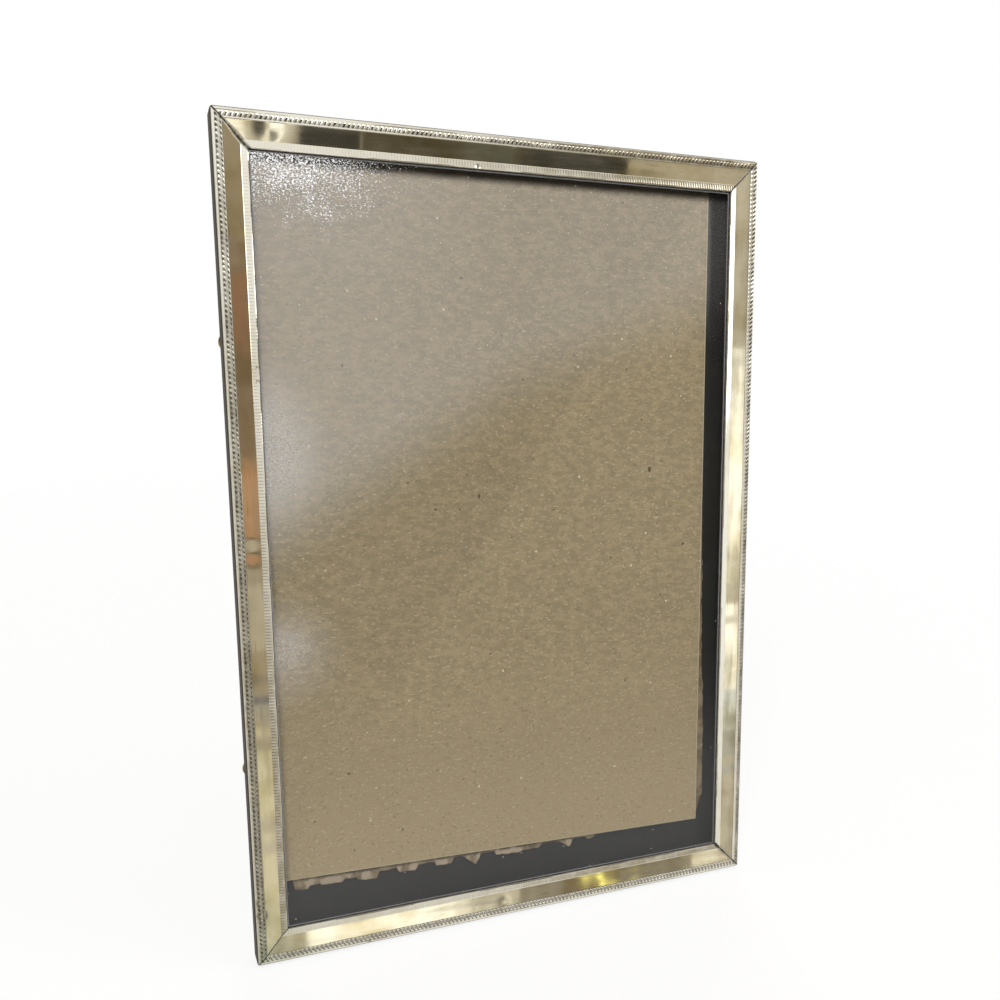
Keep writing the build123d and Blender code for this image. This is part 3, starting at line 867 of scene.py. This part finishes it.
def cut_mitres(mesh, length):
    """Cut both ends at 45 degrees, half the mitre's gap short, and close them."""
    gap = mitre_gap / math.sqrt(2)
    with edited(mesh) as shape:
        for start, way in ((gap, -1.0), (length - gap, 1.0)):
            cut_away(shape, (start, 0, 0), (way, 1.0, 0))
            rim = [edge for edge in shape.edges if edge.is_boundary]
            bmesh.ops.holes_fill(shape, edges=rim, sides=0)


def round_corner(points):
    """Round the frame's outer corners as seen from in front."""
    half = np.array([frame_width / 2 - corner_round, frame_height / 2 - corner_round])
    centred = points[:, [0, 2]] - np.array([0.0, frame_height / 2])
    beyond = np.abs(centred) - half
    inside = (beyond > 0).all(axis=1)
    square = beyond.max(axis=1)
    length = np.linalg.norm(beyond, axis=1)
    scale = np.where(inside, square / np.maximum(length, 1e-9), 1.0)
    moved = np.where(inside[:, None], np.sign(centred) * (half + beyond * scale[:, None]), centred)
    points[:, 0] = moved[:, 0]
    points[:, 2] = moved[:, 1] + frame_height / 2
    return points


def on_rail(name, along, inward, drop):
    """Upright place of a point given along, into and behind a rail. Side rails run upwards."""
    half = frame_width / 2
    return {
        "left": (inward - half, drop, along),
        "right": (half - inward, drop, along),
        "bottom": (along - half, drop, inward),
        "top": (along - half, drop, frame_height - inward),
    }[name]


# How far the dark of each mitre spreads over its two rails, and which corners each rail runs between
seam_spread = {"tl": 0.15, "tr": 0.06, "br": 0.13, "bl": 0.01}
rail_ends = {"left": ("bl", "tl"), "right": ("br", "tr"), "top": ("tl", "tr"), "bottom": ("bl", "br")}


def darken_seams(name, mesh, points):
    """Dirt along both mitres of a rail whose points are still in (along, in, drop)."""
    layer = mesh.attributes["grime_and_shade"]
    dirt_and_shade = np.zeros(len(mesh.vertices), np.float32)
    layer.data.foreach_get("value", dirt_and_shade)
    for corner, along in zip(rail_ends[name], (points[:, 0], rail_lengths[name] - points[:, 0])):
        beyond = (along - points[:, 1]) / math.sqrt(2) - mitre_gap / 2
        spread = seam_spread[corner] * (1 + 1.6 * np.clip((points[:, 1] - 3.0) / 1.5, 0, 1))
        dark = np.clip(1.6 - beyond / spread, 0, 1)
        dirt_and_shade = np.maximum(dirt_and_shade, dark.astype(np.float32))
    layer.data.foreach_set("value", dirt_and_shade)


def make_rail(name, material):
    """One rail with its relief and mitres, for the plain rail of the CAD part."""
    points, values, shape = rail_points(name, rail_lengths[name])
    mesh = new_mesh("rail_" + name + "_beaded", points.tolist(), grid_faces(*shape, closed=True))
    for key, numbers in values.items():
        carry(mesh, key, numbers)
    cut_mitres(mesh, rail_lengths[name])
    flat = np.zeros(len(mesh.vertices) * 3)
    mesh.vertices.foreach_get("co", flat)
    flat = flat.reshape(-1, 3)
    darken_seams(name, mesh, flat)
    placed = np.stack(on_rail(name, flat[:, 0], flat[:, 1], flat[:, 2]), -1)
    mesh.vertices.foreach_set("co", round_corner(placed).ravel())
    if name in ("left", "top"):
        mesh.flip_normals()
    out_to_floor(mesh)
    set_smooth(mesh, 24.0)
    add_piece(mesh, material, "frame", "rail_" + name)


# Torn paper

strip_rows = 9
flap_columns = 480
side_columns = 260
tuck_behind_card = 1.6
side_strip_high = frame_height - 60.0
finder_start = 6.0
finder_reach = 8.0


def clamp(value, low=0.0, high=1.0):
    return max(low, min(high, value))


def paper_finder():
    """Finds the torn sheet's edge in the upright plane, from the CAD piece that it replaces."""
    node = frame["nodes"]["torn_paper"]
    corners = [stand_up.inverted() @ vertex.co / mm for vertex in node.data.vertices]
    faces = [tuple(polygon.vertices) for polygon in node.data.polygons]
    return BVHTree.FromPolygons(corners, faces)


def torn_strip(columns, place, edge_at, card_edge_at, tuck, curl_seed, bleached):
    """Points of a torn strip: each column runs from behind the card, past its edge, to a torn edge.

    Tuck is how far behind the card's edge a column starts, and bleached how pale its long flaps are.
    """
    points = []
    torn = []
    outward = -math.copysign(1, tuck)
    most_lift = paper_front - card_front - 0.15
    for column in range(columns):
        share = column / (columns - 1)
        card_edge = card_edge_at(share)
        wander = noise.noise(Vector((share * 60, curl_seed, 0))) + noise.noise(Vector((share * 190, 3, 1)))
        shown = (edge_at(share) - card_edge) * outward + 0.1 * wander
        curl = 0.15 + 1.4 * abs(noise.noise(Vector((share * 40, curl_seed, 7))))
        for row in range(strip_rows):
            if row < 2:
                reach = card_edge + tuck * (1 - row)
                out = 0.0
            else:
                out = (row - 1) / (strip_rows - 2)
                reach = card_edge + outward * max(shown, -0.4) * out
            lift = min(most_lift, curl * most_lift) * out ** 1.5 if shown > 0.1 else 0.0
            points.append(place(share, reach, paper_front + 0.02 - lift))
            torn.append(bleached * clamp((shown - 1.0) * 1.4) * min(1.0, out * 3))
    return points, torn


def make_torn_paper(material):
    """The flaps below the card and the strip beside it, curled forward at their torn edges."""
    finder = paper_finder()
    middle = (paper_front + paper_back) / 2
    half = frame_width / 2
    flap_left = card_left - half + 1.0
    flap_right = card_left + card_width - half
    strip_low = frame_height - card_drop_right

    def card_bottom(x):
        return frame_height - card_drop_left - card_slope * (x + half - card_left)

    def flap_x(share):
        return flap_left + (flap_right - flap_left) * share

    def flap_edge(share):
        x = flap_x(share)
        start = Vector((x, middle, card_bottom(x) - finder_start))
        hit = finder.ray_cast(start, Vector((0, 0, 1)), finder_reach)[0]
        return hit.z if hit else card_bottom(x) + 1.0

    def strip_z(share):
        return strip_low + (side_strip_high - strip_low) * share

    def strip_edge(share):
        start = Vector((flap_right + finder_start, middle, strip_z(share)))
        hit = finder.ray_cast(start, Vector((-1, 0, 0)), finder_reach)[0]
        slim = 0.1 + 0.65 * clamp(1.4 - 1.4 * share)
        return flap_right + (hit.x - flap_right) * slim if hit else flap_right - 1.0

    strips = [
        torn_strip(flap_columns, lambda share, reach, depth: (flap_x(share), depth, reach), flap_edge,
                   lambda share: card_bottom(flap_x(share)), tuck_behind_card, 3.1, 1.0),
        torn_strip(side_columns, lambda share, reach, depth: (reach, depth, strip_z(share)), strip_edge,
                   lambda share: flap_right, -tuck_behind_card, 11.7, 0.0),
    ]
    points = []
    torn = []
    faces = []
    for some, worn in strips:
        first = len(points)
        grid = grid_faces(len(some) // strip_rows, strip_rows)
        faces += [tuple(first + corner for corner in face) for face in grid]
        points += some
        torn += worn
    mesh = new_mesh("torn_paper_flaps", points, faces)
    carry(mesh, "torn", torn)
    out_to_floor(mesh)
    set_smooth(mesh, 60.0)
    piece = add_piece(mesh, material, "frame", "torn_paper")
    thicken(piece, paper_sheet, 0.0)


# Cloth coverings

back_columns = 90
back_rows = 126
leg_rings = 110
leg_steps = 18
below_foot = -6.0


def rim_of(rows, columns):
    """The points round the edge of a grid, in order."""
    rim = list(range(columns))
    rim += [row * columns + columns - 1 for row in range(1, rows)]
    rim += [(rows - 1) * columns + column for column in range(columns - 2, -1, -1)]
    rim += [row * columns for row in range(rows - 2, 0, -1)]
    return rim


def back_turns():
    """How far out and how deep the cloth lies, step by step round the board's edge and in in front."""
    turns = []
    for step in range(1, 6):
        angle = math.radians(18 * step)
        turns.append((edge_round * math.sin(angle), back_rear - edge_round * (1 - math.cos(angle))))
    for step in range(1, 5):
        angle = math.radians(22.5 * step)
        turns.append((edge_round * math.cos(angle), back_front + edge_round * (1 - math.sin(angle))))
    turns.append((edge_round - turn_in, back_front))
    return turns


def stepped_out(place, half, grow):
    """A place on the rim moved out with its edge, or held back to where the turned-in cloth ends."""
    if grow < 0:
        return clamp(place, -half - grow, half + grow)
    return place * (1 + grow / half) if abs(abs(place) - half) < 1e-6 else place


def make_back_cover(material):
    """Velveteen glued over the board: its rear, round its edges, and turned in in front."""
    half_width = back_width / 2 - edge_round
    half_height = back_height / 2 - edge_round
    middle = back_height / 2 + (frame_height - back_height) / 2
    points = []
    for row in range(back_rows):
        for column in range(back_columns):
            x = -half_width + 2 * half_width * column / (back_columns - 1)
            z = -half_height + 2 * half_height * row / (back_rows - 1)
            nap = 0.05 * (1 - noise.noise(Vector((x, z, 0)) * 0.09))
            points.append((x, back_rear - min(nap, 0.12), middle + z))
    faces = grid_faces(back_rows, back_columns)
    rim = rim_of(back_rows, back_columns)
    last = rim
    for grow, depth in back_turns():
        fresh = list(range(len(points), len(points) + len(rim)))
        for corner in rim:
            x, _, z = points[corner]
            across = stepped_out(x, half_width, grow)
            points.append((across, depth, middle + stepped_out(z - middle, half_height, grow)))
        for step in range(len(rim)):
            after = (step + 1) % len(rim)
            faces.append((last[step], last[after], fresh[after], fresh[step]))
        last = fresh
    mesh = new_mesh("back_velveteen", points, faces)
    mesh.flip_normals()
    with edited(mesh) as shape:
        bmesh.ops.remove_doubles(shape, verts=shape.verts, dist=1e-4)
        bmesh.ops.dissolve_degenerate(shape, edges=shape.edges, dist=1e-4)
    out_to_floor(mesh)
    set_smooth(mesh, 60.0)
    piece = add_piece(mesh, material, "frame", "back_cover")
    thicken(piece, cloth)


def leg_half_width(height):
    """Half the leg's width at a height of the closed leg, with its top corners rounded."""
    from_top = leg_top - height
    half = (leg_top_width + (leg_foot_width - leg_top_width) * from_top / leg_top) / 2
    if from_top < leg_corner:
        half -= leg_corner - math.sqrt(max(0.0, leg_corner ** 2 - (leg_corner - from_top) ** 2))
    return half


def leg_ring(height):
    """Points round the cloth at one height of the closed leg."""
    half = leg_half_width(max(height, 0.0)) + max(0.0, -height) * 0.1
    near_top = min(1.0, (leg_top - height) / edge_round)
    soft = edge_round * (1 - math.sqrt(max(0.0, 1 - (1 - near_top) ** 2)))
    thick = (leg_rear - leg_front) / 2 - soft
    ring = []
    for side in (1, -1):
        for step in range(leg_steps + 1):
            x = side * (half - edge_round) * (1 - 2 * step / leg_steps)
            lump = 0.05 * (1 + noise.noise(Vector((x, height, 5.0 * side)) * 0.12))
            ring.append((x, side * (thick - min(lump, 0.1))))
        for degrees in (30, 60, 90, 120, 150):
            angle = math.radians(degrees)
            ring.append((-side * (half - edge_round + edge_round * math.sin(angle)),
                         side * thick * math.cos(angle)))
    return [(x, (leg_front + leg_rear) / 2 + depth, height) for x, depth in ring]


def make_leg_cover(material):
    """Velveteen glued all round the leg, with soft edges and its foot cut level."""
    evenly_from = leg_top - 1.6
    heights = [leg_top - fall for fall in (0.02, 0.12, 0.3, 0.6, 1.0)]
    heights += [evenly_from - (evenly_from - below_foot) * step / leg_rings for step in range(leg_rings + 1)]
    rings = [leg_ring(height) for height in heights]
    size = len(rings[0])
    points = [point for ring in rings for point in ring]
    faces = grid_faces(len(rings), size, closed=True)
    faces.append(tuple(range(size)))
    faces.append(tuple(reversed(range(len(points) - size, len(points)))))
    mesh = new_mesh("leg_velveteen", points, faces)
    out_to_floor(mesh, swing_open)
    with edited(mesh) as shape:
        cut_away(shape, (0, 0, 0), (0, 0, -1))
    set_smooth(mesh, 50.0)
    piece = add_piece(mesh, material, "leg", "leg_cover")
    thicken(piece, cloth)


# The room that the metal and the glass mirror, for the photograph's view

white = (1.5, 1.48, 1.42)
cream = (1.0, 0.97, 0.85)
beige = (0.62, 0.58, 0.50)
tan = (0.42, 0.36, 0.27)
dim_tan = (0.34, 0.285, 0.20)
light_tan = (0.52, 0.47, 0.38)
olive_light = (0.75, 0.71, 0.55)
brown = (0.24, 0.175, 0.115)
red_brown = (0.29, 0.165, 0.10)
orange_tan = (0.50, 0.31, 0.19)
dark = (0.055, 0.052, 0.045)
dark_brown = (0.095, 0.08, 0.055)
green_grey = (0.11, 0.108, 0.085)
slate = (0.17, 0.175, 0.20)
yellow = (2.2, 2.15, 0.85)
silver = (0.92, 0.98, 1.0)
silver_grey = (0.52, 0.53, 0.52)
mixed_grey = (0.30, 0.27, 0.22)

# What each rail's bevel mirrors, as (from, to, colour) along it from the upper or left end, and how
# far a strip leans if it does
rail_rooms = {
    "left": [
        (-3, 26, dim_tan), (26, 31, brown), (31, 50, red_brown), (50, 70, brown, 1.0),
        (70, 91, orange_tan, 1.5), (91, 93, dark_brown), (93, 115, light_tan),
        (115, 122.5, tan), (122.5, 127, slate, -0.5), (127, 129, beige), (129, 132, tan),
        (132, 152, olive_light), (152, 160, beige), (160, 190, olive_light),
    ],
    "right": [
        (-3, 48, beige), (48, 98, white), (98, 108, cream), (108, 116, beige),
        (116, 134, white), (134, 146, silver), (146, 155, silver_grey, 1.0), (155, 190, beige),
    ],
    "top": [
        (-3, 13, white), (13, 16, mixed_grey), (16, 34, dark), (34, 35.5, mixed_grey),
        (35.5, 53, dark_brown), (53, 68, green_grey), (68, 74, dark_brown), (74, 99, dark),
        (99, 119.5, light_tan), (119.5, 125, tan, 1.5), (124, 139, dark_brown),
    ],
    "bottom": [
        (-3, 10, beige), (10, 50, white), (50, 56, cream), (56, 58, tan), (58, 61, cream),
        (61, 69, beige), (69, 81, mixed_grey), (81, 91, brown), (90.2, 96.0, yellow, -4.5),
        (91, 119, mixed_grey), (119, 133, cream), (133, 139, brown),
    ],
}

# How far off each rail's strips hang: where two cross, the nearer one shows in both rails
room_distances = {"left": 10.0, "right": 10.2, "top": 10.5, "bottom": 10.8}

# How far each strip reaches past both edges of the bevel, and how much nearer a leaning one hangs
room_spread = 2.4
leaning_nearer = 0.98

# What the glass mirrors: its colour, how far off it hangs and how far it reaches past the frame
dim_room = (0.21, 0.20, 0.18)
dim_room_distance = 12.0
dim_room_margin = 10.0
dim_room_rows = 16
dim_room_columns = 12


def mirrored(point, normal, distance):
    """Where the camera sees the room in a mirror at this upright point with this upright normal."""
    spot = stand_up @ (Vector(point) * mm)
    across = (stand_up.to_3x3() @ Vector(normal)).normalized()
    ray = (spot - camera_place).normalized()
    return spot + (ray - 2 * ray.dot(across) * across) * distance


def room_card(name, corners, colour, faces):
    """A card far off in the room that only the metal and the glass can see."""
    mesh = new_mesh(name, [tuple(corner) for corner in corners], faces)
    mesh.materials.append(glow(name, colour))
    card = put(name, mesh)
    for ray in ("camera", "diffuse", "shadow", "transmission"):
        setattr(card, "visible_" + ray, False)


def make_rail_rooms():
    """Strips of room, each set where one stretch of a rail's bevel mirrors it."""
    fall = math.atan2(bevel_drop - fillet_drop, bevel_in - fillet_in)
    aside = math.sin(fall)
    forward = -math.cos(fall)
    normals = {
        "left": (aside, forward, 0), "right": (-aside, forward, 0),
        "bottom": (0, forward, aside), "top": (0, forward, -aside),
    }
    near = fillet_in - room_spread
    far = bevel_in + room_spread
    for rail, bands in rail_rooms.items():
        for number, (start, end, colour, *leans) in enumerate(bands):
            lean = sum(leans)
            distance = room_distances[rail] * (leaning_nearer if lean else 1.0)
            corners = []
            for along, inward in ((start - lean, near), (end - lean, near), (end + lean, far),
                                  (start + lean, far)):
                if rail in ("left", "right"):
                    along = frame_height - along
                point = on_rail(rail, along, inward, (fillet_drop + bevel_drop) / 2)
                corners.append(mirrored(point, normals[rail], distance))
            room_card("room_" + rail + "_" + str(number), corners, colour, [(0, 1, 2, 3)])


def make_glass_room():
    """The dim side of the room, which the glass mirrors."""
    margin = dim_room_margin
    points = []
    for row in range(dim_room_rows):
        for column in range(dim_room_columns):
            across = -margin + (frame_width + 2 * margin) * column / (dim_room_columns - 1)
            up = -margin + (frame_height + 2 * margin) * row / (dim_room_rows - 1)
            point = (across - frame_width / 2, glass_front, up)
            points.append(mirrored(point, (0, -1, 0), dim_room_distance))
    room_card("room_dim", points, dim_room, grid_faces(dim_room_rows, dim_room_columns))


# Floor, light and camera

floor_half = 6.0
soft_light = 0.44
lamps_aim = Vector((0, 0, 0.09))


def make_floor():
    corners = [(x * floor_half, y * floor_half, 0) for x, y in ((-1, -1), (1, -1), (1, 1), (-1, 1))]
    mesh = new_mesh("floor", corners, [(0, 1, 2, 3)])
    mesh.materials.append(pale_floor())
    floor = put("floor", mesh)
    floor.visible_glossy = False


def make_world():
    """White for the camera and for what mirrors it, and a soft even light for everything else."""
    world = bpy.data.worlds.new("studio")
    bpy.context.scene.world = world
    world.use_nodes = True
    tree = world.node_tree
    tree.nodes.clear()
    soft = field(tree, "ShaderNodeBackground", {"Color": (0.97, 0.98, 1.0, 1), "Strength": soft_light})
    plain = field(tree, "ShaderNodeBackground", {"Color": plain_white, "Strength": 1.0})
    both = mix_shaders(larger(*ray_kinds(tree)), soft, plain)
    add_node(tree, "ShaderNodeOutputWorld", {"Surface": both})


def add_lamp(name, place, size, power, colour):
    """A square lamp aimed at the middle of the object."""
    lamp = bpy.data.lights.new(name, "AREA")
    lamp.shape = "RECTANGLE"
    lamp.size = size
    lamp.size_y = size
    lamp.energy = power
    lamp.color = colour
    holder = put(name, lamp)
    holder.location = place
    holder.rotation_euler = (lamps_aim - Vector(place)).to_track_quat("-Z", "Y").to_euler()


def make_lamps():
    add_lamp("key", (-0.55, -0.75, 1.25), 0.55, 17.0, (1.0, 0.985, 0.96))
    add_lamp("fill", (1.2, -0.5, 0.7), 0.8, 7.0, (0.97, 0.98, 1.0))
    add_lamp("back", (0.5, 1.1, 0.9), 0.7, 6.0, (1.0, 1.0, 1.0))


def make_camera():
    lens = bpy.data.cameras.new("camera")
    lens.lens = camera_lens
    lens.sensor_width = 36.0
    lens.shift_y = camera_shift
    lens.clip_start = 0.005
    camera = put("camera", lens)
    camera.location = camera_place
    camera.rotation_euler = [math.radians(angle) for angle in camera_angles]
    bpy.context.scene.camera = camera


# The whole object


def dress_cad_nodes(finishes):
    """Give each CAD node that keeps its shape its material."""
    for node, material in finishes.items():
        materials = frame["nodes"][node].data.materials
        materials.clear()
        materials.append(material)


def make_object():
    rail_material = rail_brass()
    for name in rail_lengths:
        make_rail(name, rail_material)
    make_torn_paper(brown_paper())
    make_back_cover(velveteen("back_velveteen"))
    make_leg_cover(velveteen("leg_velveteen", swing_open.inverted()))
    hinge = stamped_brass("hinge_plate_brass", (0.60, 0.47, 0.24), 0.25)
    rivet = stamped_brass("rivet_head_brass", (0.67, 0.55, 0.32), 0.18, 2.0)
    button = stamped_brass("turn_button_brass", (0.62, 0.49, 0.26), 0.22)
    ring = stamped_brass("ring_wire_brass", (0.64, 0.52, 0.29), 0.2, 3.0)
    steel = key_steel()
    board = raw_board()
    finishes = {
        "glass": dusty_glass(), "insert_card": chipboard(), "back_liner": black_paper(),
        "back_board": board, "leg_board": board, "hinge_bracket": hinge, "hinge_clip": hinge,
        "hinge_pin": rivet, "bracket_rivets": rivet, "clip_rivets": rivet, "hanger_rivet": rivet,
        "turn_button_rivets": rivet, "hanger_strap": ring, "hanger_ring": ring,
    }
    for corner in seam_spread:
        finishes["corner_key_" + corner] = steel
    for level in ("high", "low"):
        for side in ("left", "right"):
            finishes["turn_button_" + level + "_" + side] = button
    dress_cad_nodes(finishes)


make_object()
make_floor()
make_world()
make_lamps()
make_rail_rooms()
make_glass_room()
make_camera()
bpy.context.scene.view_settings.view_transform = "Standard"
